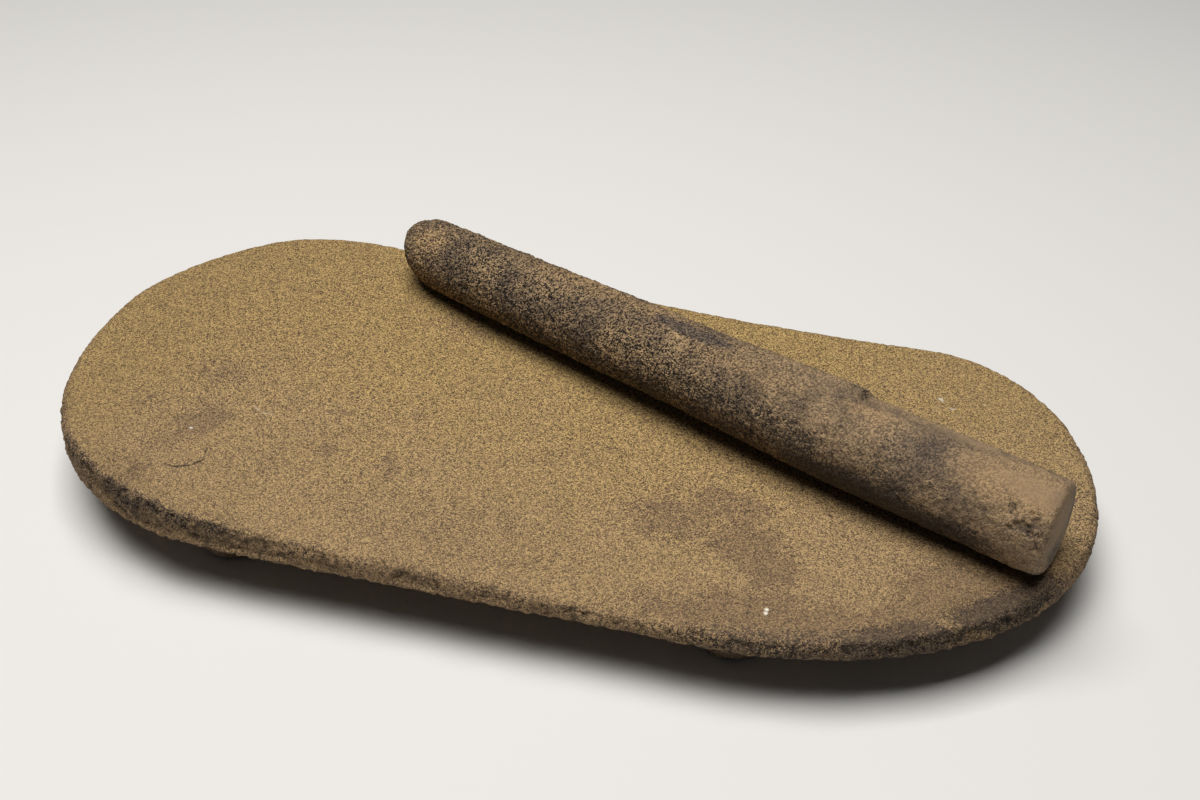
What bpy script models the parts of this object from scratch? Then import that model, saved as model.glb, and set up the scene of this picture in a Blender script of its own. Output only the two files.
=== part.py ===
"""Saddle quern: a sandstone slab carved with four short feet, and the loose roller lying on it.

Metres, +Z up. The slab's length runs along X with its broad end at -X. The origin is on the
ground, under the middle of the slab.
"""

import math

import bmesh
import bpy
from mathutils import Matrix, Vector
from mathutils.bvhtree import BVHTree

# Slab seen from above: its half width at three places along each side, and where they lie
SLAB_LENGTH = 0.680
BROAD_HALF_WIDTH = 0.168
BROAD_FRONT_X = -0.161
BROAD_BACK_X = -0.156
WAIST_FRONT = 0.164
WAIST_FRONT_X = -0.012
WAIST_BACK = 0.165
WAIST_BACK_X = 0.028
NARROW_FRONT = 0.161
NARROW_FRONT_X = 0.120
NARROW_BACK = 0.162
NARROW_BACK_X = 0.223

# Each end's tip lies a little to the back of the middle line, and is this blunt (2 is an ellipse)
BROAD_TIP_Y = 0.033
BROAD_BLUNTNESS = 2.13
NARROW_TIP_Y = 0.009
NARROW_BLUNTNESS = 2.03

# Slab seen from the side: the rim's height above the ground along its length
RIM_AT_BROAD_TIP = 0.0555
RIM_HIGHEST = 0.0645
RIM_HIGHEST_X = -0.250
RIM_AT_WAIST = 0.0515
RIM_WAIST_X = -0.060
RIM_LOWEST = 0.0475
RIM_LOWEST_X = 0.110
RIM_AT_NARROW_TIP = 0.0515
DISH_DEPTH = 0.0015
EDGE_FOOT_BROAD = 0.0385
EDGE_FOOT_NARROW = 0.0345
UNDERSIDE = 0.029
UNDERCUT = 0.060
RIM_ROUND = 0.0055
LOWER_ROUND = 0.0035

# Feet: tapered stubs, two under each end
FOOT_TOP_RADIUS = 0.036
FOOT_BASE_RADIUS = 0.019
FOOT_ROUND = 0.004
FOOT_SUNK = 0.006
FOOT_INSET = 0.049
BROAD_FEET_X = -0.172
NARROW_FEET_X = 0.142

# Roller: a long round bar, thickest between its middle and its front end
ROLLER_LENGTH = 0.516
ROLLER_BACK_RADIUS = 0.0252
ROLLER_MIDDLE_RADIUS = 0.0285
ROLLER_THICKEST_RADIUS = 0.0310
ROLLER_THICKEST_AT = 0.110
ROLLER_FRONT_RADIUS = 0.0295
ROLLER_BACK_CAP = 0.032
ROLLER_FRONT_CAP = 0.020
ROLLER_MIDDLE = (0.077, 0.041)
ROLLER_TURN_DEG = -22.7
ROLLER_CLEARANCE = 0.0004

# Fineness of the faceted solids
SLAB_SEGMENTS = 88
TOP_RINGS = 9
ROUND_RINGS = 3
BAND_RINGS = 2
BASE_RINGS = 8
ROLLER_SEGMENTS = 36
ROLLER_RINGS = 44
CAP_RINGS = 8
FOOT_SEGMENTS = 24

SANDSTONE = ("sandstone", (0.36, 0.25, 0.115), 0.9)
HANDLED_SANDSTONE = ("handled_sandstone", (0.21, 0.155, 0.10), 0.85)


def smooth_step(t):
    """Eases from 0 to 1, level at both ends."""
    t = min(max(t, 0.0), 1.0)
    return t * t * (3.0 - 2.0 * t)


def eased(x, stations):
    """A value that eases from one (x, value) station to the next, and is level beyond them."""
    for (x0, low), (x1, high) in zip(stations, stations[1:]):
        if x <= x1:
            return low + (high - low) * smooth_step((x - x0) / (x1 - x0))
    return stations[-1][1]


def side_line(x, at_back):
    """Where the slab's back or front side lies at x, curving in to the tip at both ends."""
    if at_back:
        side = 1
        stations = [
            (BROAD_BACK_X, BROAD_HALF_WIDTH),
            (WAIST_BACK_X, WAIST_BACK),
            (NARROW_BACK_X, NARROW_BACK),
        ]
    else:
        side = -1
        stations = [
            (BROAD_FRONT_X, BROAD_HALF_WIDTH),
            (WAIST_FRONT_X, WAIST_FRONT),
            (NARROW_FRONT_X, NARROW_FRONT),
        ]
    broad_x, narrow_x = stations[0][0], stations[-1][0]
    half_length = SLAB_LENGTH / 2
    if x < broad_x:
        into_end, tip, bluntness = (broad_x - x) / (half_length + broad_x), BROAD_TIP_Y, BROAD_BLUNTNESS
    else:
        into_end = max(x - narrow_x, 0.0) / (half_length - narrow_x)
        tip, bluntness = NARROW_TIP_Y, NARROW_BLUNTNESS
    rounding = max(1.0 - into_end**bluntness, 0.0) ** (1.0 / bluntness)
    return tip + (side * eased(x, stations) - tip) * rounding


def outline(angle):
    """The slab's outline from above, counter-clockwise from the narrow end's tip."""
    x = SLAB_LENGTH / 2 * math.cos(angle)
    return Vector((x, side_line(x, math.sin(angle) >= 0)))


def inward(angle):
    """The unit direction square to the outline, into the slab."""
    step = 0.02
    along = outline(angle + step) - outline(angle - step)
    return Vector((-along.y, along.x)).normalized()


def rim_height(x):
    """How high the rim stands at x: highest near the broad end, lowest where it is most worn."""
    half_length = SLAB_LENGTH / 2
    stations = [
        (-half_length, RIM_AT_BROAD_TIP),
        (RIM_HIGHEST_X, RIM_HIGHEST),
        (RIM_WAIST_X, RIM_AT_WAIST),
        (RIM_LOWEST_X, RIM_LOWEST),
        (half_length, RIM_AT_NARROW_TIP),
    ]
    return eased(x, stations)


def edge_foot(x):
    """How high the edge band ends and the underside begins at x."""
    half_length = SLAB_LENGTH / 2
    return eased(x, [(-half_length, EDGE_FOOT_BROAD), (half_length, EDGE_FOOT_NARROW)])


def slab_section(angle):
    """Points from the middle of the top, over the rim and under to the middle of the base."""
    rim, into = outline(angle), inward(angle)
    high, low = rim_height(rim.x), edge_foot(rim.x)
    points = []
    for ring in range(TOP_RINGS + 1):
        share = ring / TOP_RINGS
        plan = (rim + into * RIM_ROUND) * share
        dish = DISH_DEPTH * (1.0 - share**2)
        points.append((plan, rim_height(plan.x) - dish))
    for ring in range(1, ROUND_RINGS + 1):
        turn = math.pi / 2 * ring / ROUND_RINGS
        plan = rim + into * RIM_ROUND * (1.0 - math.sin(turn))
        drop = RIM_ROUND * (1.0 - math.cos(turn))
        points.append((plan, high - drop))
    band_top, band_foot = high - RIM_ROUND, low + LOWER_ROUND
    for ring in range(1, BAND_RINGS + 1):
        share = ring / BAND_RINGS
        points.append((rim, band_top + (band_foot - band_top) * share))
    for ring in range(1, ROUND_RINGS + 1):
        turn = math.pi / 2 * ring / ROUND_RINGS
        plan = rim + into * LOWER_ROUND * (1.0 - math.cos(turn))
        points.append((plan, band_foot - LOWER_ROUND * math.sin(turn)))
    base_start = rim + into * LOWER_ROUND
    for ring in range(1, BASE_RINGS + 1):
        share = ring / BASE_RINGS
        plan = base_start * (1.0 - share)
        inset = (base_start - plan).length
        drop = (low - UNDERSIDE) * smooth_step(inset / UNDERCUT)
        points.append((plan, low - drop))
    return points


def place_on_sphere_rings(mesh, rings, point_of):
    """Moves each vertex of a unit UV sphere to point_of(its angle round Z, its ring from the top)."""
    for vertex in mesh.vertices:
        direction = vertex.co.normalized()
        tilt = math.acos(min(max(direction.z, -1.0), 1.0))
        ring = round(tilt / math.pi * rings)
        angle = math.atan2(direction.y, direction.x) if 0 < ring < rings else 0.0
        vertex.co = point_of(angle, ring)


def sphere_object(name, segments, rings, collection):
    """A unit UV sphere with this many segments and rings, as a new object."""
    shape = bmesh.new()
    bmesh.ops.create_uvsphere(shape, u_segments=segments, v_segments=rings, radius=1.0)
    mesh = bpy.data.meshes.new(name)
    shape.to_mesh(mesh)
    shape.free()
    made = bpy.data.objects.new(name, mesh)
    collection.objects.link(made)
    return made


def face_outwards(mesh):
    """Turns every face of a closed mesh to point out of it."""
    shape = bmesh.new()
    shape.from_mesh(mesh)
    bmesh.ops.recalc_face_normals(shape, faces=shape.faces)
    shape.to_mesh(mesh)
    shape.free()


def stone(name, colour, roughness):
    """A dull stone material."""
    material = bpy.data.materials.new(name)
    material.use_nodes = True
    shader = material.node_tree.nodes["Principled BSDF"]
    shader.inputs["Base Color"].default_value = (*colour, 1.0)
    shader.inputs["Roughness"].default_value = roughness
    shader.inputs["Metallic"].default_value = 0.0
    material.diffuse_color = (*colour, 1.0)
    return material


def finish_surface(made, material):
    """Gives the stone its material, smooth where it is round and sharp where it is cut."""
    face_outwards(made.data)
    made.data.materials.append(material)
    made.data.shade_smooth()
    made.data.set_sharp_from_angle(angle=math.radians(50))


def make_foot(name, x, y, cutters):
    """One tapered stub from just inside the slab down to a flat spot on the ground."""
    height = UNDERSIDE + FOOT_SUNK
    shape = bmesh.new()
    bmesh.ops.create_cone(
        shape,
        cap_ends=True,
        segments=FOOT_SEGMENTS,
        radius1=FOOT_BASE_RADIUS,
        radius2=FOOT_TOP_RADIUS,
        depth=height,
    )
    base_edges = [edge for edge in shape.edges if all(v.co.z < 0 for v in edge.verts)]
    bmesh.ops.bevel(
        shape,
        geom=base_edges,
        offset=FOOT_ROUND,
        segments=3,
        profile=0.5,
        affect="EDGES",
    )
    mesh = bpy.data.meshes.new(name)
    shape.to_mesh(mesh)
    shape.free()
    foot = bpy.data.objects.new(name, mesh)
    foot.location = (x, y, height / 2)
    foot.hide_render = True
    foot.display_type = "WIRE"
    cutters.objects.link(foot)
    return foot


def make_slab(parts, cutters, material):
    """The slab, with its four feet carved from the same stone."""
    rings = TOP_RINGS + 2 * ROUND_RINGS + BAND_RINGS + BASE_RINGS
    slab = sphere_object("quern_slab", SLAB_SEGMENTS, rings, parts)
    sections = {}

    def point_of(angle, ring):
        key = round(angle, 5)
        if key not in sections:
            sections[key] = slab_section(angle)
        plan, height = sections[key][ring]
        return Vector((plan.x, plan.y, height))

    place_on_sphere_rings(slab.data, rings, point_of)
    finish_surface(slab, material)
    for end, x in (("broad", BROAD_FEET_X), ("narrow", NARROW_FEET_X)):
        for side, at_back in (("front", False), ("back", True)):
            y = side_line(x, at_back) - FOOT_INSET * (1 if at_back else -1)
            foot = make_foot(f"{end}_{side}_foot", x, y, cutters)
            joined = slab.modifiers.new(foot.name, "BOOLEAN")
            joined.operation = "UNION"
            joined.object = foot
    return slab


def roller_radius(x):
    """The roller's radius at x along its own axis, measured from its middle."""
    half_length = ROLLER_LENGTH / 2
    stations = [
        (-half_length, ROLLER_BACK_RADIUS),
        (0.0, ROLLER_MIDDLE_RADIUS),
        (ROLLER_THICKEST_AT, ROLLER_THICKEST_RADIUS),
        (half_length, ROLLER_FRONT_RADIUS),
    ]
    rounding = 1.0
    for from_end, cap in ((half_length + x, ROLLER_BACK_CAP), (half_length - x, ROLLER_FRONT_CAP)):
        if from_end < cap:
            rounding = math.sqrt(max(1.0 - (1.0 - from_end / cap) ** 2, 0.0))
    return eased(x, stations) * rounding


def roller_station(ring):
    """Where a ring lies along the roller: rings are close together in the rounded ends."""
    half_length = ROLLER_LENGTH / 2
    if ring <= CAP_RINGS:
        turn = math.pi / 2 * ring / CAP_RINGS
        return -half_length + ROLLER_BACK_CAP * (1.0 - math.cos(turn))
    if ring >= ROLLER_RINGS - CAP_RINGS:
        turn = math.pi / 2 * (ROLLER_RINGS - ring) / CAP_RINGS
        return half_length - ROLLER_FRONT_CAP * (1.0 - math.cos(turn))
    back, front = -half_length + ROLLER_BACK_CAP, half_length - ROLLER_FRONT_CAP
    return back + (front - back) * (ring - CAP_RINGS) / (ROLLER_RINGS - 2 * CAP_RINGS)


def make_roller(parts, material):
    """The roller, level along X about its own middle."""
    roller = sphere_object("roller", ROLLER_SEGMENTS, ROLLER_RINGS, parts)

    def point_of(angle, ring):
        x = roller_station(ring)
        radius = roller_radius(x) if 0 < ring < ROLLER_RINGS else 0.0
        return Vector((x, radius * math.sin(angle), radius * math.cos(angle)))

    place_on_sphere_rings(roller.data, ROLLER_RINGS, point_of)
    finish_surface(roller, material)
    return roller


def gaps_below(roller, slab_tree):
    """(distance along the roller, gap) from each point of its underside straight down to the slab."""
    high_above = 1.0
    gaps = []
    for vertex in roller.data.vertices:
        if vertex.co.z > 0:
            continue
        point = roller.matrix_world @ vertex.co
        hit = slab_tree.ray_cast(point + Vector((0, 0, high_above)), Vector((0, 0, -1)))[0]
        if hit is not None:
            gaps.append((vertex.co.x, point.z - hit.z))
    return gaps


def lay_roller(roller, slab):
    """Lays the roller on the slab, touching it on both sides of the roller's own middle."""
    graph = bpy.context.evaluated_depsgraph_get()
    slab_tree = BVHTree.FromObject(slab, graph)
    turn = Matrix.Rotation(math.radians(ROLLER_TURN_DEG), 4, "Z")
    above = Matrix.Translation((*ROLLER_MIDDLE, RIM_HIGHEST + 2 * ROLLER_FRONT_RADIUS))
    tilt = 0.0
    height = 0.0
    for _ in range(4):
        lean = Matrix.Rotation(-math.atan(tilt), 4, "Y")
        roller.matrix_world = Matrix.Translation((0, 0, height)) @ above @ turn @ lean
        bpy.context.view_layer.update()
        gaps = gaps_below(roller, slab_tree)
        behind = [gap for gap in gaps if gap[0] < 0]
        ahead = [gap for gap in gaps if gap[0] >= 0]
        best = None
        for x0, gap0 in behind:
            for x1, gap1 in ahead:
                slope = (gap1 - gap0) / (x1 - x0)
                drop = gap0 - slope * x0
                if best is None or drop < best[0]:
                    best = (drop, slope)
        tilt -= best[1]
        height -= best[0] - ROLLER_CLEARANCE


def clear_scene():
    """Removes whatever the file held."""
    for made in list(bpy.data.objects):
        bpy.data.objects.remove(made, do_unlink=True)


def main():
    clear_scene()
    scene = bpy.context.scene
    parts = bpy.data.collections.new("saddle_quern")
    cutters = bpy.data.collections.new("saddle_quern_cutters")
    scene.collection.children.link(parts)
    scene.collection.children.link(cutters)
    slab = make_slab(parts, cutters, stone(*SANDSTONE))
    roller = make_roller(parts, stone(*HANDLED_SANDSTONE))
    bpy.context.view_layer.update()
    lay_roller(roller, slab)


main()
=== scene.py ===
import math

import bmesh
import bpy
import numpy as np
from mathutils import Matrix, Vector


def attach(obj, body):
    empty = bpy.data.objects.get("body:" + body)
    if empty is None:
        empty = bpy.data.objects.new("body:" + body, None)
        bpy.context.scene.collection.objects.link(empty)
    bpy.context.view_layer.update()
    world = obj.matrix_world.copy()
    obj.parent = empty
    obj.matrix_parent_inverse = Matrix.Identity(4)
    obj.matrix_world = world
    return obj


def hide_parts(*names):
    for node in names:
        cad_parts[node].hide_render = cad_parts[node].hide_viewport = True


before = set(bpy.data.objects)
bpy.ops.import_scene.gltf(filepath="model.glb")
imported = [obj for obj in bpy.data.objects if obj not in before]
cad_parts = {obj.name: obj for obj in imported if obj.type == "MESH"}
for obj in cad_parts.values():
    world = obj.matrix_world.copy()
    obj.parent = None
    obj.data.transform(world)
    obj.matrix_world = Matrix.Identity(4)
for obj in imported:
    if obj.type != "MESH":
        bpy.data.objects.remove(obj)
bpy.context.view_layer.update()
print("frame loaded")


# --- small helpers for node trees

def addNode(tree, kind, inputs=None, **settings):
    made = tree.nodes.new(kind)
    for setting, value in settings.items():
        setattr(made, setting, value)
    for socket, value in (inputs or {}).items():
        if isinstance(value, bpy.types.NodeSocket):
            tree.links.new(value, made.inputs[socket])
        else:
            made.inputs[socket].default_value = value
    return made


def calc(tree, operation, first, second=0.5, third=0.5):
    inputs = {0: first, 1: second, 2: third}
    return addNode(tree, "ShaderNodeMath", inputs, operation=operation).outputs[0]


def plus(tree, total, value, share):  # adds a share of the value to the total
    return calc(tree, "ADD", total, calc(tree, "MULTIPLY", value, share))


def vectorCalc(tree, operation, inputs):
    return addNode(tree, "ShaderNodeVectorMath", inputs, operation=operation)


def scaled(tree, vector, factor):
    return vectorCalc(tree, "SCALE", {0: vector, "Scale": factor}).outputs[0]


def ramp(tree, value, low, high, toLow=0.0, toHigh=1.0):  # smooth step from low to high
    inputs = {0: value, 1: low, 2: high, 3: toLow, 4: toHigh}
    return addNode(tree, "ShaderNodeMapRange", inputs, interpolation_type="SMOOTHSTEP").outputs[0]


def noise(tree, place, size, detail=2.0, rough=0.5, seed=0.0, colour=False):
    inputs = {
        "Vector": place,
        "W": seed,
        "Scale": 1.0 / size,  # size of a lump, in metres
        "Detail": detail,
        "Roughness": rough,
    }
    made = addNode(tree, "ShaderNodeTexNoise", inputs, noise_dimensions="4D")
    return made.outputs["Color" if colour else "Fac"]


def shaken(tree, place, size, reach, seed):  # moves a pattern about, so its edges wander
    wander = noise(tree, place, size, 3.0, 0.6, seed, colour=True)
    even = vectorCalc(tree, "SUBTRACT", {0: wander, 1: (0.5, 0.5, 0.5)}).outputs[0]
    return vectorCalc(tree, "ADD", {0: place, 1: scaled(tree, even, reach)}).outputs[0]


def blend(tree, factor, first, second, how="MIX"):
    made = addNode(tree, "ShaderNodeMix", {0: factor}, data_type="RGBA", blend_type=how)
    for socket, value in ((6, first), (7, second)):
        if isinstance(value, bpy.types.NodeSocket):
            tree.links.new(value, made.inputs[socket])
        else:
            made.inputs[socket].default_value = (*value, 1.0)
    return made.outputs[2]


def seenFrom(tree, place, middle, turn, reach=(1.0, 1.0, 1.0)):
    # the place in a frame about the middle, turned in degrees, with the reach as its unit
    inputs = {
        "Vector": place,
        "Location": middle,
        "Rotation": (0, 0, math.radians(turn)),
        "Scale": reach,
    }
    return addNode(tree, "ShaderNodeMapping", inputs, vector_type="TEXTURE").outputs[0]


def patches(tree, place, marks):
    # soft ellipses: each mark is its middle, its reach along x, y and z, its turn and its strength
    total = None
    for middle, reach, turn, strength in marks:
        own = seenFrom(tree, place, middle, turn, reach)
        away = vectorCalc(tree, "LENGTH", {0: own}).outputs["Value"]
        mark = ramp(tree, away, 1.0, 0.3, 0.0, strength)
        total = mark if total is None else calc(tree, "MAXIMUM", total, mark)
    return total


def sandGrains(tree, place, size, contrast, seed):
    # packed grains, each with its own shade and a rounded top
    # gives a tint around middle grey for an overlay, the shade alone and the height
    inputs = {"Vector": place, "Scale": 1.0 / size}
    cell = addNode(tree, "ShaderNodeTexVoronoi", inputs, feature="F1")
    shade = addNode(tree, "ShaderNodeSeparateColor", {0: cell.outputs["Color"]}).outputs[0]
    shade = calc(tree, "SUBTRACT", shade, 0.5)
    fleck = noise(tree, place, size * 1.6, 2.0, 0.7, seed)
    value = calc(tree, "MULTIPLY_ADD", fleck, 0.38, 0.31)
    value = calc(tree, "MULTIPLY_ADD", shade, contrast, value)
    made = addNode(tree, "ShaderNodeValToRGB", {0: value})
    stops = made.color_ramp.elements
    stops[0].position, stops[0].color = 0.28, (0.11, 0.11, 0.12, 1.0)
    stops[1].position, stops[1].color = 0.72, (1.0, 0.99, 0.90, 1.0)
    tints = (
        (0.40, (0.38, 0.35, 0.40)),
        (0.50, (0.50, 0.50, 0.50)),
        (0.61, (0.66, 0.67, 0.56)),
    )
    for position, tint in tints:
        stops.new(position).color = (*tint, 1.0)
    return made.outputs[0], shade, calc(tree, "MULTIPLY_ADD", cell.outputs["Distance"], -0.7, fleck)


def stoneMaterial(name):
    made = bpy.data.materials.new(name)
    made.use_nodes = True
    tree = made.node_tree
    shader = tree.nodes["Principled BSDF"]
    shader.inputs["Metallic"].default_value = 0.0
    shader.inputs["Specular IOR Level"].default_value = 0.25
    place = addNode(tree, "ShaderNodeTexCoord").outputs["Object"]
    return made, tree, shader, place


def painted(tree, attribute):
    return addNode(tree, "ShaderNodeAttribute", attribute_name=attribute).outputs["Fac"]


def dressStone(tree, shader, look, colour, roughness, height):
    inputs = {"Height": height, "Distance": look["grainBump"], "Strength": 1.0}
    bump = addNode(tree, "ShaderNodeBump", inputs).outputs[0]
    tree.links.new(colour, shader.inputs["Base Color"])
    tree.links.new(roughness, shader.inputs["Roughness"])
    tree.links.new(bump, shader.inputs["Normal"])


# --- the stone's surface: swells, pits, crumbled grains and chips along the normal

def weatherTree(name):
    tree = bpy.data.node_groups.new(name, "GeometryNodeTree")
    tree.interface.new_socket("Geometry", in_out="INPUT", socket_type="NodeSocketGeometry")
    measures = (
        "Seed",
        "Swell Height", "Swell Size",
        "Pit Depth", "Pit Size",
        "Crumble Height", "Crumble Size",
        "Grit Height", "Grit Size",
        "Chip Depth", "Chip Size",
    )
    for socket in measures:
        tree.interface.new_socket(socket, in_out="INPUT", socket_type="NodeSocketFloat")
    tree.interface.new_socket("Stone", in_out="INPUT", socket_type="NodeSocketMaterial")
    tree.interface.new_socket("Geometry", in_out="OUTPUT", socket_type="NodeSocketGeometry")
    given = tree.nodes.new("NodeGroupInput").outputs
    place = tree.nodes.new("GeometryNodeInputPosition").outputs[0]
    normal = tree.nodes.new("GeometryNodeInputNormal").outputs[0]

    def through(kind, inputs, **settings):
        return addNode(tree, kind, inputs, **settings).outputs[0]

    def zone(attribute):
        return through("GeometryNodeInputNamedAttribute", {"Name": attribute}, data_type="FLOAT")

    def lumps(sizeSocket, shift, detail):
        inputs = {
            "Vector": place,
            "W": calc(tree, "ADD", given["Seed"], shift),
            "Scale": calc(tree, "DIVIDE", 1.0, given[sizeSocket]),
            "Detail": detail,
        }
        return addNode(tree, "ShaderNodeTexNoise", inputs, noise_dimensions="4D").outputs["Fac"]

    def lifted(sizeSocket, shift, detail, level):  # lumps counted from a level near their mean
        return calc(tree, "SUBTRACT", lumps(sizeSocket, shift, detail), level)

    def times(*factors):
        result = factors[0]
        for factor in factors[1:]:
            result = calc(tree, "MULTIPLY", result, factor)
        return result

    rough, rim, scar = zone("rough"), zone("rim"), zone("scar")
    swell = times(lifted("Swell Size", 0.0, 1.0, 0.7), given["Swell Height"])
    crumble = times(lifted("Crumble Size", 7.0, 2.0, 0.54), rough, given["Crumble Height"])
    grit = times(lifted("Grit Size", 17.0, 2.0, 0.54), rough, given["Grit Height"])
    pit = times(ramp(tree, lumps("Pit Size", 3.0, 2.0), 0.54, 0.70), rough, given["Pit Depth"])
    # flakes broken from the rim leave small steps
    broken = plus(tree, plus(tree, lumps("Chip Size", 11.0, 3.0), rim, 0.10), scar, 0.25)
    chip = times(ramp(tree, broken, 0.62, 0.66), given["Chip Depth"])
    chip = times(chip, calc(tree, "MAXIMUM", rim, scar))
    up, down = calc(tree, "ADD", swell, crumble), calc(tree, "ADD", pit, chip)
    offset = scaled(tree, normal, calc(tree, "ADD", up, calc(tree, "SUBTRACT", grit, down)))
    shape = through("GeometryNodeSetPosition", {"Geometry": given["Geometry"], "Offset": offset})
    # how deep each point lies, in millimetres, for darkening the hollows
    low = calc(tree, "SUBTRACT", plus(tree, pit, chip, 0.5), calc(tree, "ADD", crumble, grit))
    stored = {"Geometry": shape, "Name": "hollow", "Value": times(low, 1000.0)}
    shape = through("GeometryNodeStoreNamedAttribute", stored, data_type="FLOAT", domain="POINT")
    shape = through("GeometryNodeRealizeInstances", {"Geometry": shape})
    shape = through("GeometryNodeSetMaterial", {"Geometry": shape, "Material": given["Stone"]})
    tree.links.new(shape, tree.nodes.new("NodeGroupOutput").inputs[0])
    return tree


def plainMesh(made):
    # takes the evaluated shape as the object's own mesh and drops its modifiers
    bpy.context.view_layer.update()
    graph = bpy.context.evaluated_depsgraph_get()
    mesh = bpy.data.meshes.new_from_object(made.evaluated_get(graph), depsgraph=graph)
    old = made.data
    made.modifiers.clear()
    made.data = mesh
    bpy.data.meshes.remove(old)
    mesh.name = made.name
    mesh.shade_smooth()
    return made


def fineCopy(nodeName, name, look):
    # the solid's own shape as an even, fine mesh
    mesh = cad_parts[nodeName].data.copy()
    shape = bmesh.new()
    shape.from_mesh(mesh)
    bmesh.ops.remove_doubles(shape, verts=shape.verts, dist=0.00002)
    shape.to_mesh(mesh)
    shape.free()
    mesh.materials.clear()
    made = bpy.data.objects.new(name, mesh)
    bpy.context.scene.collection.objects.link(made)
    even = made.modifiers.new("even", "REMESH")
    even.mode = "VOXEL"
    even.voxel_size = look["meshSize"]
    soft = made.modifiers.new("soft", "SMOOTH")
    soft.factor = 0.5
    soft.iterations = look["softenPasses"]
    return plainMesh(made)


def weathered(made, tree, look, stone):
    modifier = made.modifiers.new("weather", "NODES")
    modifier.node_group = tree
    sockets = {s.name: s.identifier for s in tree.interface.items_tree if s.in_out == "INPUT"}
    for socket, value in look["weather"].items():
        modifier[sockets[socket]] = value
    modifier[sockets["Stone"]] = stone
    plainMesh(made)
    made.data.calc_loop_triangles()
    thin = made.modifiers.new("thin", "DECIMATE")  # smooth places need fewer triangles
    thin.ratio = min(1.0, look["triangles"] / len(made.data.loop_triangles))
    return plainMesh(made)


def readPoints(mesh):
    places, normals = np.empty(len(mesh.vertices) * 3), np.empty(len(mesh.vertices) * 3)
    mesh.vertices.foreach_get("co", places)
    mesh.vertices.foreach_get("normal", normals)
    return places.reshape(-1, 3), normals.reshape(-1, 3)


def paint(mesh, **zones):
    for attribute, values in zones.items():
        made = mesh.attributes.new(attribute, "FLOAT", "POINT")
        made.data.foreach_set("value", values.astype(np.float32))


def step(value, low, high):
    t = np.clip((value - low) / (high - low), 0.0, 1.0)
    return t * t * (3.0 - 2.0 * t)


def softMarks(points, marks):
    # the same soft ellipses as in the materials, for the shape
    total = np.zeros(len(points))
    for middle, reach, turn, strength in marks:
        back = np.array(Matrix.Rotation(math.radians(turn), 3, "Z"))
        away = np.linalg.norm((points - middle) @ back / reach, axis=1)
        total = np.maximum(total, strength * step(away, 1.0, 0.3))
    return total


# --- the slab

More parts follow.
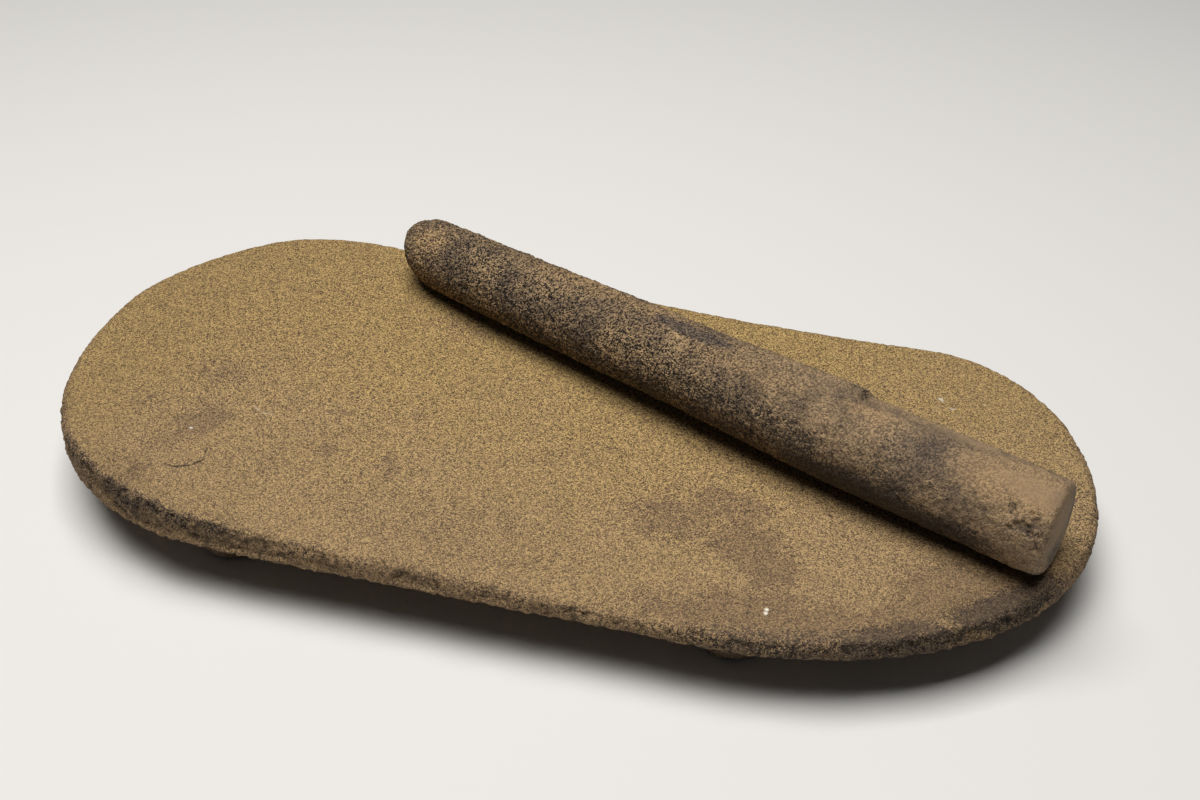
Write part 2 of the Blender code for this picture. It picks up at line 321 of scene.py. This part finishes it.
slabLook = {
    "meshSize": 0.0013,
    "softenPasses": 14,
    "triangles": 190000,
    "weather": {
        "Seed": 4.0,
        "Swell Height": 0.0008,
        "Swell Size": 0.070,
        "Pit Depth": 0.0014,
        "Pit Size": 0.0052,
        "Crumble Height": 0.0014,
        "Crumble Size": 0.0090,
        "Grit Height": 0.0036,
        "Grit Size": 0.0034,
        "Chip Depth": 0.0017,
        "Chip Size": 0.026,
    },
    "scars": [  # places on the rim where flakes have come away: middle, reach, turn, strength
        ((0.285, -0.100, 0.052), (0.050, 0.030, 0.05), 40, 1.0),
        ((0.235, -0.135, 0.052), (0.040, 0.020, 0.05), 15, 0.8),
        ((-0.225, -0.145, 0.060), (0.060, 0.020, 0.05), -30, 0.8),
        ((-0.140, -0.165, 0.060), (0.060, 0.014, 0.05), -5, 0.7),
        ((0.330, 0.070, 0.052), (0.012, 0.024, 0.05), 0, 0.3),
    ],
    "fullerEdge": 0.0014,  # how far the lower edge bulges at the front of the broad end
    "hiddenBelow": (0.036, 0.030),  # the underside and the feet, finished plainer and given a darker colour as painted shade, by height
    "edgeFoot": (0.036, 0.044),  # height at which the underside turns into the edge
    "rimWidth": (0.013, 0.003),  # chips fade in from the first to the second, counted from outside
    "rubbedEnds": (0.295, 0.335),  # the ends' edge is smoother from here on
    "ochre": (0.292, 0.199, 0.084),
    "greyBrown": (0.280, 0.191, 0.100),
    # stain colour, also used for painted shade at the broad end and under the roller's end
    "stainAndShade": (0.195, 0.130, 0.073),
    # edge colour: partly weathering, partly painted shade on the sides
    "edge": (0.232, 0.153, 0.087),
    "handled": (0.156, 0.109, 0.072),
    "underside": (0.120, 0.086, 0.058),
    "patina": (0.043, 0.032, 0.024),
    "speck": (0.80, 0.76, 0.66),
    "grainSize": 0.00065,
    "grainContrast": 0.56,
    "grainBump": 0.00042,
    "stainsAndShadow": [  # soft ellipses, given as the scars are, and so are the lists below
        ((-0.218, -0.034, 0.06), (0.028, 0.024, 0.05), 0, 0.40),
        ((-0.204, -0.084, 0.06), (0.020, 0.036, 0.05), -12, 0.72),
        ((-0.217, -0.110, 0.06), (0.012, 0.024, 0.05), -35, 0.45),
        ((-0.250, -0.076, 0.06), (0.016, 0.018, 0.05), 0, 0.35),
        ((-0.217, -0.1385, 0.06), (0.013, 0.012, 0.05), 0, 0.6),
        ((-0.090, 0.085, 0.05), (0.040, 0.030, 0.05), 0, 0.35),
        ((-0.133, -0.040, 0.05), (0.008, 0.007, 0.05), 0, 0.6),
        ((-0.127, -0.079, 0.05), (0.010, 0.008, 0.05), 0, 0.6),
        ((-0.081, -0.082, 0.05), (0.011, 0.020, 0.05), 0, 0.45),
        ((-0.086, -0.024, 0.05), (0.009, 0.009, 0.05), 0, 0.35),
        ((-0.152, -0.102, 0.05), (0.009, 0.024, 0.05), 0, 0.35),
        ((0.128, -0.050, 0.05), (0.040, 0.028, 0.05), -15, 0.60),
        ((0.094, -0.070, 0.05), (0.042, 0.028, 0.05), 10, 0.60),
        ((0.143, -0.080, 0.05), (0.034, 0.026, 0.05), 0, 0.80),
        ((0.158, -0.100, 0.05), (0.028, 0.022, 0.05), 0, 0.85),
        ((0.160, -0.138, 0.05), (0.110, 0.030, 0.05), 8, 0.7),
        ((0.235, -0.120, 0.05), (0.034, 0.022, 0.05), 25, 0.8),
        ((-0.030, -0.125, 0.05), (0.130, 0.040, 0.05), 0, 0.25),
        # these two are partly dirt and partly painted shadow of the roller's front end
        ((0.255, -0.085, 0.05), (0.050, 0.026, 0.05), 35, 0.9),
        ((0.290, -0.080, 0.05), (0.060, 0.036, 0.05), 45, 0.8),
    ],
    "crack": [
        ((-0.2036, -0.1303, 0.06), (0.0050, 0.0013, 0.05), -5, 0.8),
        ((-0.1987, -0.1298, 0.06), (0.0050, 0.0014, 0.05), 17, 1.0),
        ((-0.1935, -0.1271, 0.06), (0.0065, 0.0014, 0.05), 35, 1.0),
        ((-0.1886, -0.1210, 0.06), (0.0075, 0.0014, 0.05), 65, 1.0),
        ((-0.1886, -0.1120, 0.06), (0.0080, 0.0012, 0.05), 109, 0.7),
    ],
    "whiteSpecks": [
        ((0.163, -0.131, 0.05), (0.0018, 0.0018, 0.02), 0, 1.0),
        ((0.163, -0.134, 0.05), (0.0017, 0.0020, 0.02), 0, 0.9),
        ((-0.209, -0.093, 0.06), (0.0018, 0.0014, 0.02), 0, 0.7),
        ((-0.182, -0.059, 0.06), (0.005, 0.0009, 0.02), -30, 0.22),
        ((-0.174, -0.061, 0.06), (0.006, 0.0008, 0.02), 5, 0.25),
        ((0.239, 0.099, 0.05), (0.0035, 0.0020, 0.02), -40, 0.5),
        ((0.247, 0.090, 0.05), (0.0030, 0.0014, 0.02), 0, 0.4),
    ],
    "patinaAndShadePlaces": [
        ((-0.306, -0.096, 0.056), (0.034, 0.034, 0.022), 0, 0.5),
        ((-0.262, -0.128, 0.060), (0.050, 0.050, 0.020), 0, 0.75),
        ((-0.210, -0.158, 0.060), (0.060, 0.036, 0.018), 0, 0.85),
        ((-0.160, -0.168, 0.058), (0.055, 0.026, 0.016), 0, 0.8),
        ((-0.100, -0.168, 0.056), (0.080, 0.020, 0.012), 0, 0.5),
        ((0.010, -0.162, 0.046), (0.130, 0.020, 0.020), 0, 0.30),
        ((0.172, -0.158, 0.040), (0.100, 0.030, 0.026), 8, 0.80),
        ((0.235, -0.140, 0.042), (0.080, 0.040, 0.028), 20, 0.95),
        # partly patina, partly painted shadow of the roller's front end
        ((0.300, -0.095, 0.050), (0.070, 0.050, 0.024), 40, 1.15),
        ((0.335, -0.010, 0.050), (0.030, 0.070, 0.022), 0, 0.42),
        ((0.325, 0.080, 0.050), (0.030, 0.040, 0.022), 0, 0.35),
        ((0.290, 0.110, 0.038), (0.060, 0.060, 0.012), -40, 0.55),
        ((0.080, 0.140, 0.038), (0.150, 0.040, 0.012), -12, 0.5),
        ((-0.200, 0.150, 0.042), (0.120, 0.050, 0.012), -8, 0.55),
        ((-0.330, 0.020, 0.038), (0.030, 0.090, 0.010), 0, 0.45),
    ],
}


def depthInside(points):
    # how far each point lies inside the outline, seen from above
    turns = 360
    turn = np.arctan2(points[:, 1], points[:, 0]) / math.tau % 1.0 * turns
    place = np.floor(turn).astype(int) % turns
    reach = np.zeros(turns)
    np.maximum.at(reach, place, np.hypot(points[:, 0], points[:, 1]))
    angle = (np.arange(turns) + 0.5) * math.tau / turns
    ring = reach[:, None] * np.column_stack([np.cos(angle), np.sin(angle)])
    along = np.roll(ring, -1, axis=0) - np.roll(ring, 1, axis=0)
    outwards = np.column_stack([along[:, 1], -along[:, 0]]) / np.linalg.norm(along, axis=1)[:, None]
    return np.sum((ring[place] - points[:, :2]) * outwards[place], axis=1)


def paintSlab(mesh, look):
    points, normals = readPoints(mesh)
    inside = depthInside(points)
    bulge = step(normals[:, 2], 0.1, -0.5) * step(inside, 0.030, 0.010)
    bulge = bulge * step(points[:, 1], 0.0, -0.06) * step(points[:, 0], 0.12, -0.08)
    points += normals * (look["fullerEdge"] * bulge)[:, None]
    mesh.vertices.foreach_set("co", points.ravel())
    mesh.update()
    far = step(points[:, 1], -0.02, 0.06)  # the far rim is smoother
    scar = softMarks(points, look["scars"])
    worn = step(normals[:, 2], 0.76, 0.94) * step(inside, 0.001, 0.008)  # the ground, smooth top
    ends = step(np.abs(points[:, 0]), *look["rubbedEnds"])
    edge = step(points[:, 2], *look["edgeFoot"])
    hidden = step(points[:, 2], *look["hiddenBelow"]) * step(inside, 0.004, 0.012)
    rough = (1.0 - worn) * (1.0 - 0.85 * hidden)
    rough = rough * (1.0 - 0.6 * far) * (1.0 - 0.45 * ends * (1.0 - far))
    rough = np.clip(rough + 0.06 + 0.5 * scar * (1.0 - hidden), 0.0, 1.4)
    rim = step(inside, *look["rimWidth"]) * edge * (1.0 - 0.7 * far)
    side = 1.0 - worn
    paint(mesh, inside=inside, rough=rough, rim=rim, scar=scar * edge, side=side, hidden=hidden)


def slabStone(look):
    made, tree, shader, place = stoneMaterial("wornSandstone")
    rough, hollow, inside = painted(tree, "rough"), painted(tree, "hollow"), painted(tree, "inside")
    side, hidden = painted(tree, "side"), painted(tree, "hidden")
    along, back, _ = addNode(tree, "ShaderNodeSeparateXYZ", {0: place}).outputs
    loose = shaken(tree, place, 0.024, 0.034, 1.0)

    # ochre towards the back and the broad end, greyer at the front and the narrow end, and
    # flecked with both
    tint, shade, grains = sandGrains(tree, place, look["grainSize"], look["grainContrast"], 2.0)
    mottle = noise(tree, place, 0.008, 3.0, 0.6, 3.0)
    cloud = noise(tree, place, 0.055, 4.0, 0.55, 4.0)
    share = plus(tree, ramp(tree, back, -0.17, 0.17, 0.0, 0.45), cloud, 0.35)
    share = calc(tree, "ADD", share, ramp(tree, along, -0.20, -0.31, 0.0, 0.30))
    share = calc(tree, "SUBTRACT", share, ramp(tree, along, 0.10, 0.25, 0.0, 0.22))
    share = plus(tree, share, mottle, 0.40)
    share = plus(tree, share, noise(tree, place, 0.0030, 2.0, 0.6, 9.0), 0.55)
    colour = blend(tree, ramp(tree, share, 0.55, 1.10), look["greyBrown"], look["ochre"])
    # stains, partly painted shadow near the roller's front end
    stainAndShade = plus(tree, patches(tree, loose, look["stainsAndShadow"]), mottle, 1.3)
    stainAndShade = calc(tree, "MULTIPLY_ADD", shade, -0.35, stainAndShade)
    colour = blend(tree, ramp(tree, stainAndShade, 0.68, 1.22, 0.0, 0.88), colour, look["stainAndShade"])
    pores = ramp(tree, noise(tree, place, 0.0026, 1.0, 0.5, 12.0), 0.70, 0.79, 0.0, 0.65)
    colour = blend(tree, pores, colour, look["patina"])
    # painted shade: the broad end is a little darker, evening out the lamp's stronger light on that
    # end
    colour = blend(tree, ramp(tree, along, -0.10, -0.28, 0.0, 0.26), colour, look["stainAndShade"])
    # the edge is browner and darker than the ground top, partly weathering and partly painted shade
    # on the sides turned away from the lamp
    colour = blend(tree, calc(tree, "MULTIPLY", side, 0.75), colour, look["edge"])
    # painted shade: the underside and the feet take a darker colour, standing in for the shadow
    # under the slab
    colour = blend(tree, calc(tree, "MULTIPLY", hidden, 0.8), colour, look["underside"])
    # the dark handled skin on the rim: brown on the lumps, black in the pits, broken up towards
    # the top, wider and darker towards the narrow end, where it is partly painted shadow of the
    # roller's end
    wide = ramp(tree, along, 0.0, 0.28, 0.0, 0.012)
    near = ramp(tree, calc(tree, "SUBTRACT", inside, wide), 0.012, 0.002)
    pitted = calc(tree, "MULTIPLY_ADD", shade, 0.36, noise(tree, place, 0.0022, 2.0, 0.7, 6.0))
    low = calc(tree, "SUBTRACT", 1.0, pitted)
    skin = calc(tree, "MULTIPLY", patches(tree, loose, look["patinaAndShadePlaces"]), near)
    skin = plus(tree, skin, mottle, 0.8)
    skin = ramp(tree, plus(tree, skin, low, 1.2), 1.30, 1.85)
    handled = blend(tree, calc(tree, "MULTIPLY", wide, 40.0), look["handled"], look["patina"])
    colour = blend(tree, calc(tree, "MULTIPLY", skin, 0.92), colour, handled)
    black = ramp(tree, plus(tree, low, hollow, 0.09), 0.48, 0.68)
    strength = calc(tree, "ADD", calc(tree, "MULTIPLY", skin, 0.70), 0.15)
    black = calc(tree, "MULTIPLY", black, strength)
    colour = blend(tree, calc(tree, "MULTIPLY", black, side), colour, look["patina"])
    colour = blend(tree, ramp(tree, hollow, 0.5, 2.0, 0.0, 0.55), colour, look["patina"])
    barely = shaken(tree, place, 0.005, 0.003, 8.0)
    crack = calc(tree, "MULTIPLY", patches(tree, barely, look["crack"]), 0.85)
    colour = blend(tree, crack, colour, look["patina"])
    # the single grains show less at the front and at the narrow end
    calm = ramp(tree, back, -0.16, 0.0, 0.28, 0.0)
    calm = calc(tree, "ADD", calm, ramp(tree, along, 0.12, 0.28, 0.0, 0.15))
    colour = blend(tree, calc(tree, "SUBTRACT", 1.0, calm), colour, tint, "OVERLAY")
    colour = blend(tree, patches(tree, place, look["whiteSpecks"]), colour, look["speck"])

    height = plus(tree, grains, mottle, 0.8)
    height = plus(tree, height, calc(tree, "MULTIPLY", pitted, rough), 4.0)
    height = plus(tree, height, pores, -0.8)
    roughness = ramp(tree, mottle, 0.2, 0.8, 0.96, 0.80)
    dressStone(tree, shader, look, colour, roughness, height)
    return made


weathering = weatherTree("stoneWeathering")
slab = fineCopy("quern_slab", "slabStone", slabLook)
paintSlab(slab.data, slabLook)
slab = weathered(slab, weathering, slabLook, slabStone(slabLook))
print("slab made:", len(slab.data.polygons), "faces")


# --- the roller

rollerLook = {
    "meshSize": 0.0010,
    "softenPasses": 24,
    "triangles": 190000,
    "middle": (0.077, 0.041, 0.0809),
    "turn": -22.7,
    "weather": {
        "Seed": 21.0,
        "Swell Height": 0.0012,
        "Swell Size": 0.045,
        "Pit Depth": 0.0006,
        "Pit Size": 0.0050,
        "Crumble Height": 0.0012,
        "Crumble Size": 0.0070,
        "Grit Height": 0.0020,
        "Grit Size": 0.0030,
        "Chip Depth": 0.0034,
        "Chip Size": 0.0070,
    },
    "halfLength": 0.258,
    "radius": 0.0295,
    "endRadius": 0.012,  # marks on an end face lie this far from its middle
    "bluntEnd": 0.020,  # length of the front end's rounding, which is made squarer
    "endSquareness": 5,  # 2 is a round nose
    "flatFade": 0.005,  # length over which a flat begins
    # worn flats: a point on each (in the roller's own frame), the way it faces, the softness of its
    # shoulder and where along the roller it starts
    "flats": [
        ((0.190, 0.0114, 0.0251), (-0.02, 0.42, 0.91), 0.0014, 0.119),
        ((0.226, -0.010, 0.0258), (0.05, -0.30, 0.95), 0.0018, 0.150),
        ((0.2555, 0.0, 0.0), (0.985, 0.12, 0.04), 0.0036, 0.200),
        ((-0.2520, -0.0109, 0.0), (-0.786, -0.618, 0.0), 0.0040, -0.300),
        ((-0.2384, -0.0178, -0.0127), (-0.41, -0.77, -0.49), 0.0040, -0.300),
    ],
    "tan": (0.262, 0.180, 0.104),
    "brown": (0.124, 0.088, 0.059),
    "charcoal": (0.044, 0.036, 0.031),
    "facet": (0.274, 0.183, 0.099),
    "streak": (0.085, 0.066, 0.055),
    "grainSize": 0.0009,
    "grainContrast": 0.86,
    "grainBump": 0.0013,
    # marks on the roller: along it from its middle, angle (90 on top, 180 facing front), reach
    # along and around, and strength
    "darkPlacesAndShade": [
        (-0.180, 130, 0.044, 0.040, 0.60),
        (-0.132, 160, 0.070, 0.026, 0.65),
        (-0.115, 130, 0.050, 0.014, 0.45),
        (-0.200, 70, 0.050, 0.014, 0.60),
        (-0.075, 165, 0.060, 0.020, 0.50),
        (-0.015, 150, 0.050, 0.020, 0.50),
        (0.045, 176, 0.140, 0.024, 0.72),
        (0.172, 140, 0.046, 0.032, 0.50),
        (0.185, 105, 0.022, 0.010, 0.50),
        (0.160, 176, 0.040, 0.020, 0.60),
        (0.116, 64, 0.010, 0.010, 0.70),
        (0.238, 165, 0.024, 0.014, 0.20),
        (-0.250, 155, 0.012, 0.030, 0.45),
        # painted shade: these two darken the roller's lower side, which faces down, away from the
        # lamp
        (-0.050, 206, 0.260, 0.024, 1.05),
        (0.150, 206, 0.120, 0.024, 1.12),
    ],
    "endShade": [
        # painted shade on the lower part of the front end's face, which faces down
        (0.258, 255, 0.012, 0.022, 0.70),
    ],
    "endHighlight": [
        # painted highlight on the upper part of that face, by its ridge
        (0.256, 100, 0.010, 0.026, 1.0),
    ],
    "smoothDark": [
        (0.004, 93, 0.042, 0.009, 0.85),
        (-0.018, 90, 0.018, 0.005, 0.8),
    ],
    "palePlacesAndHighlight": [
        (-0.221, 122, 0.026, 0.015, 1.0),
        # painted highlight: a paler band along the top, where the overhead lamp falls
        (-0.085, 82, 0.120, 0.014, 0.65),
        (0.050, 112, 0.070, 0.014, 0.45),
        (0.132, 105, 0.024, 0.009, 0.85),
        (0.225, 115, 0.050, 0.024, 1.0),
    ],
    "scaly": [
        (0.238, 148, 0.020, 0.016, 0.55),
        (0.246, 162, 0.012, 0.012, 0.50),
    ],
}


def aroundRoller(marks, radius):
    # turns marks given along and around the roller into soft ellipses in its own frame
    placed = []
    for along, angle, reachAlong, reachAround, strength in marks:
        turn = math.radians(angle)
        middle = (along, radius * math.cos(turn), radius * math.sin(turn))
        placed.append((middle, (reachAlong, reachAround, reachAround), 0, strength))
    return placed


def grindFlats(mesh, look):
    # each flat takes off what stands above it, with a soft shoulder; gives how far each point moved
    turned = np.array(Matrix.Rotation(math.radians(look["turn"]), 3, "Z"))
    points, _ = readPoints(mesh)
    own = (points - look["middle"]) @ turned
    # square up the front end's rounding before grinding it
    share = (own[:, 0] - (look["halfLength"] - look["bluntEnd"])) / look["bluntEnd"]
    share = np.clip(share, 0.0, 0.99)
    power = look["endSquareness"]
    fuller = (1.0 - share**power) ** (1.0 / power) / np.sqrt(1.0 - share**2)
    own[:, 1:] *= fuller[:, None]
    start = own.copy()
    for place, facing, shoulder, begin in look["flats"]:
        facing = np.array(facing) / np.linalg.norm(facing)
        above = (own - place) @ facing
        taken = shoulder * np.logaddexp(0.0, above / shoulder)
        taken = np.where(above > -5.0 * shoulder, taken, 0.0)
        taken = taken * step(own[:, 0], begin, begin + look["flatFade"])
        own -= taken[:, None] * facing
    mesh.vertices.foreach_set("co", (own @ turned.T + look["middle"]).ravel())
    mesh.update()
    return own, np.linalg.norm(own - start, axis=1)


def paintRoller(mesh, look):
    own, ground = grindFlats(mesh, look)
    # the flats on the front end are worn smooth
    polished = step(ground, 0.0012, 0.0030) * step(own[:, 0], 0.16, 0.19)
    scaly = softMarks(own, aroundRoller(look["scaly"], look["radius"]))
    coarse = 1.0 + 0.35 * step(own[:, 0], 0.05, -0.15)  # the rounded end is rougher
    paint(mesh, rough=coarse - 0.65 * polished, rim=np.zeros(len(own)), scar=scaly)


def rollerStone(look):
    made, tree, shader, place = stoneMaterial("handledSandstone")
    own = seenFrom(tree, place, look["middle"], look["turn"])
    rough, hollow = painted(tree, "rough"), painted(tree, "hollow")
    loose = shaken(tree, own, 0.016, 0.022, 1.0)
    barely = shaken(tree, own, 0.008, 0.006, 5.0)
    tint, shade, peck = sandGrains(tree, place, look["grainSize"], look["grainContrast"], 2.0)
    speck = noise(tree, place, 0.0042, 3.0, 0.65, 3.0)
    cloud = noise(tree, place, 0.028, 4.0, 0.6, 4.0)

    def marked(where, name, radiusName="radius"):
        return patches(tree, where, aroundRoller(look[name], look[radiusName]))

    darkAndShade = marked(loose, "darkPlacesAndShade")
    darkAndShade = calc(tree, "MAXIMUM", darkAndShade, marked(barely, "endShade", "endRadius"))
    # pale places: tan and facet colour, with painted highlight along the top and on the upper part
    # of the end face
    pale = marked(loose, "palePlacesAndHighlight")
    pale = calc(tree, "MAXIMUM", pale, marked(barely, "endHighlight", "endRadius"))
    base = blend(tree, ramp(tree, cloud, 0.32, 0.66), look["brown"], look["tan"])
    base = blend(tree, pale, base, look["facet"])
    # charcoal lies in the hollows between the grains, and over them in the dark places, which also
    # hold painted shade on the lower side and on the lower part of the front end's face
    soot = plus(tree, calc(tree, "MULTIPLY", darkAndShade, 0.78), speck, -0.80)
    # towards the front end the skin is rubbed smooth, so the grains show less
    along = addNode(tree, "ShaderNodeSeparateXYZ", {0: own}).outputs[0]
    crisp = ramp(tree, along, 0.22, -0.10, 0.20, 1.0)
    grains = calc(tree, "MULTIPLY_ADD", shade, 1.3, calc(tree, "ADD", peck, -0.15))
    soot = calc(tree, "SUBTRACT", soot, calc(tree, "MULTIPLY", grains, crisp))
    soot = plus(tree, soot, pale, -0.35)
    soot = calc(tree, "ADD", soot, calc(tree, "MULTIPLY_ADD", cloud, 0.32, -0.03))
    colour = blend(tree, ramp(tree, soot, -0.15, 0.50, 0.0, 0.9), base, look["charcoal"])
    streak = ramp(tree, marked(barely, "smoothDark"), 0.2, 0.5, 0.0, 0.85)
    colour = blend(tree, streak, colour, look["streak"])
    colour = blend(tree, ramp(tree, hollow, 0.2, 1.1, 0.0, 0.6), colour, look["charcoal"])
    worn = ramp(tree, rough, 0.35, 1.0, 0.32, 1.0)
    worn = calc(tree, "MULTIPLY", worn, ramp(tree, crisp, 0.20, 1.0, 0.40, 1.0))
    colour = blend(tree, worn, colour, tint, "OVERLAY")

    height = calc(tree, "MULTIPLY", plus(tree, peck, speck, 1.2), worn)
    dressStone(tree, shader, look, colour, ramp(tree, speck, 0.2, 0.8, 0.9, 0.7), height)
    return made


roller = fineCopy("roller", "rollerStone", rollerLook)
paintRoller(roller.data, rollerLook)
roller = weathered(roller, weathering, rollerLook, rollerStone(rollerLook))
print("roller made:", len(roller.data.polygons), "faces")

for piece, node, slotName in (
    (slab, "quern_slab", "slab_sandstone"),
    (roller, "roller", "roller_sandstone"),
):
    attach(piece, "root")
    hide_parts(node)


# --- floor, light and camera

studio = {
    "floorSize": 6.0,
    "floorColour": (0.70, 0.695, 0.685),
    "lampPower": 85.0,
    "lampSize": 1.70,
    "lampPlace": (-0.22, -0.16, 2.5),
    "lampColour": (1.0, 0.975, 0.94),
    "roomLight": 0.045,
    "roomColour": (0.78, 0.88, 1.0),
    "cameraPlace": (0.2158, -0.6714, 0.5651),
    "cameraTurn": 15.5,
    "cameraDown": 35.33,
    "cameraRoll": 1.14,
    "lens": 40.3,
}


def makeStudio(look):
    scene = bpy.context.scene
    scene.view_settings.view_transform = "Standard"
    mesh = bpy.data.meshes.new("floor")
    shape = bmesh.new()
    bmesh.ops.create_grid(shape, x_segments=1, y_segments=1, size=look["floorSize"])
    shape.to_mesh(mesh)
    shape.free()
    floor = bpy.data.objects.new("floor", mesh)
    scene.collection.objects.link(floor)
    pale = bpy.data.materials.new("paleFloor")
    pale.use_nodes = True
    shader = pale.node_tree.nodes["Principled BSDF"]
    shader.inputs["Base Color"].default_value = (*look["floorColour"], 1.0)
    shader.inputs["Roughness"].default_value = 0.9
    shader.inputs["Specular IOR Level"].default_value = 0.1
    mesh.materials.append(pale)

    lamp = bpy.data.objects.new("overheadLamp", bpy.data.lights.new("overheadLamp", "AREA"))
    lamp.data.shape = "SQUARE"
    lamp.data.size = look["lampSize"]
    lamp.data.energy = look["lampPower"]
    lamp.data.color = look["lampColour"]
    lamp.location = look["lampPlace"]
    lamp.rotation_euler = Vector(look["lampPlace"]).to_track_quat("Z", "Y").to_euler()
    scene.collection.objects.link(lamp)
    scene.world = bpy.data.worlds.new("room")
    scene.world.use_nodes = True
    room = scene.world.node_tree.nodes["Background"]
    room.inputs["Color"].default_value = (*look["roomColour"], 1.0)
    room.inputs["Strength"].default_value = look["roomLight"]

    camera = bpy.data.objects.new("camera", bpy.data.cameras.new("camera"))
    turn, down = math.radians(look["cameraTurn"]), math.radians(look["cameraDown"])
    level = math.cos(down)
    ahead = Vector((-math.sin(turn) * level, math.cos(turn) * level, -math.sin(down)))
    aim = ahead.to_track_quat("-Z", "Y").to_matrix().to_4x4()
    roll = Matrix.Rotation(math.radians(look["cameraRoll"]), 4, "Z")
    camera.matrix_world = Matrix.Translation(look["cameraPlace"]) @ aim @ roll
    camera.data.sensor_width = 36.0
    camera.data.lens = look["lens"]
    camera.data.clip_start = 0.01
    scene.collection.objects.link(camera)
    scene.camera = camera


makeStudio(studio)
print("studio set")
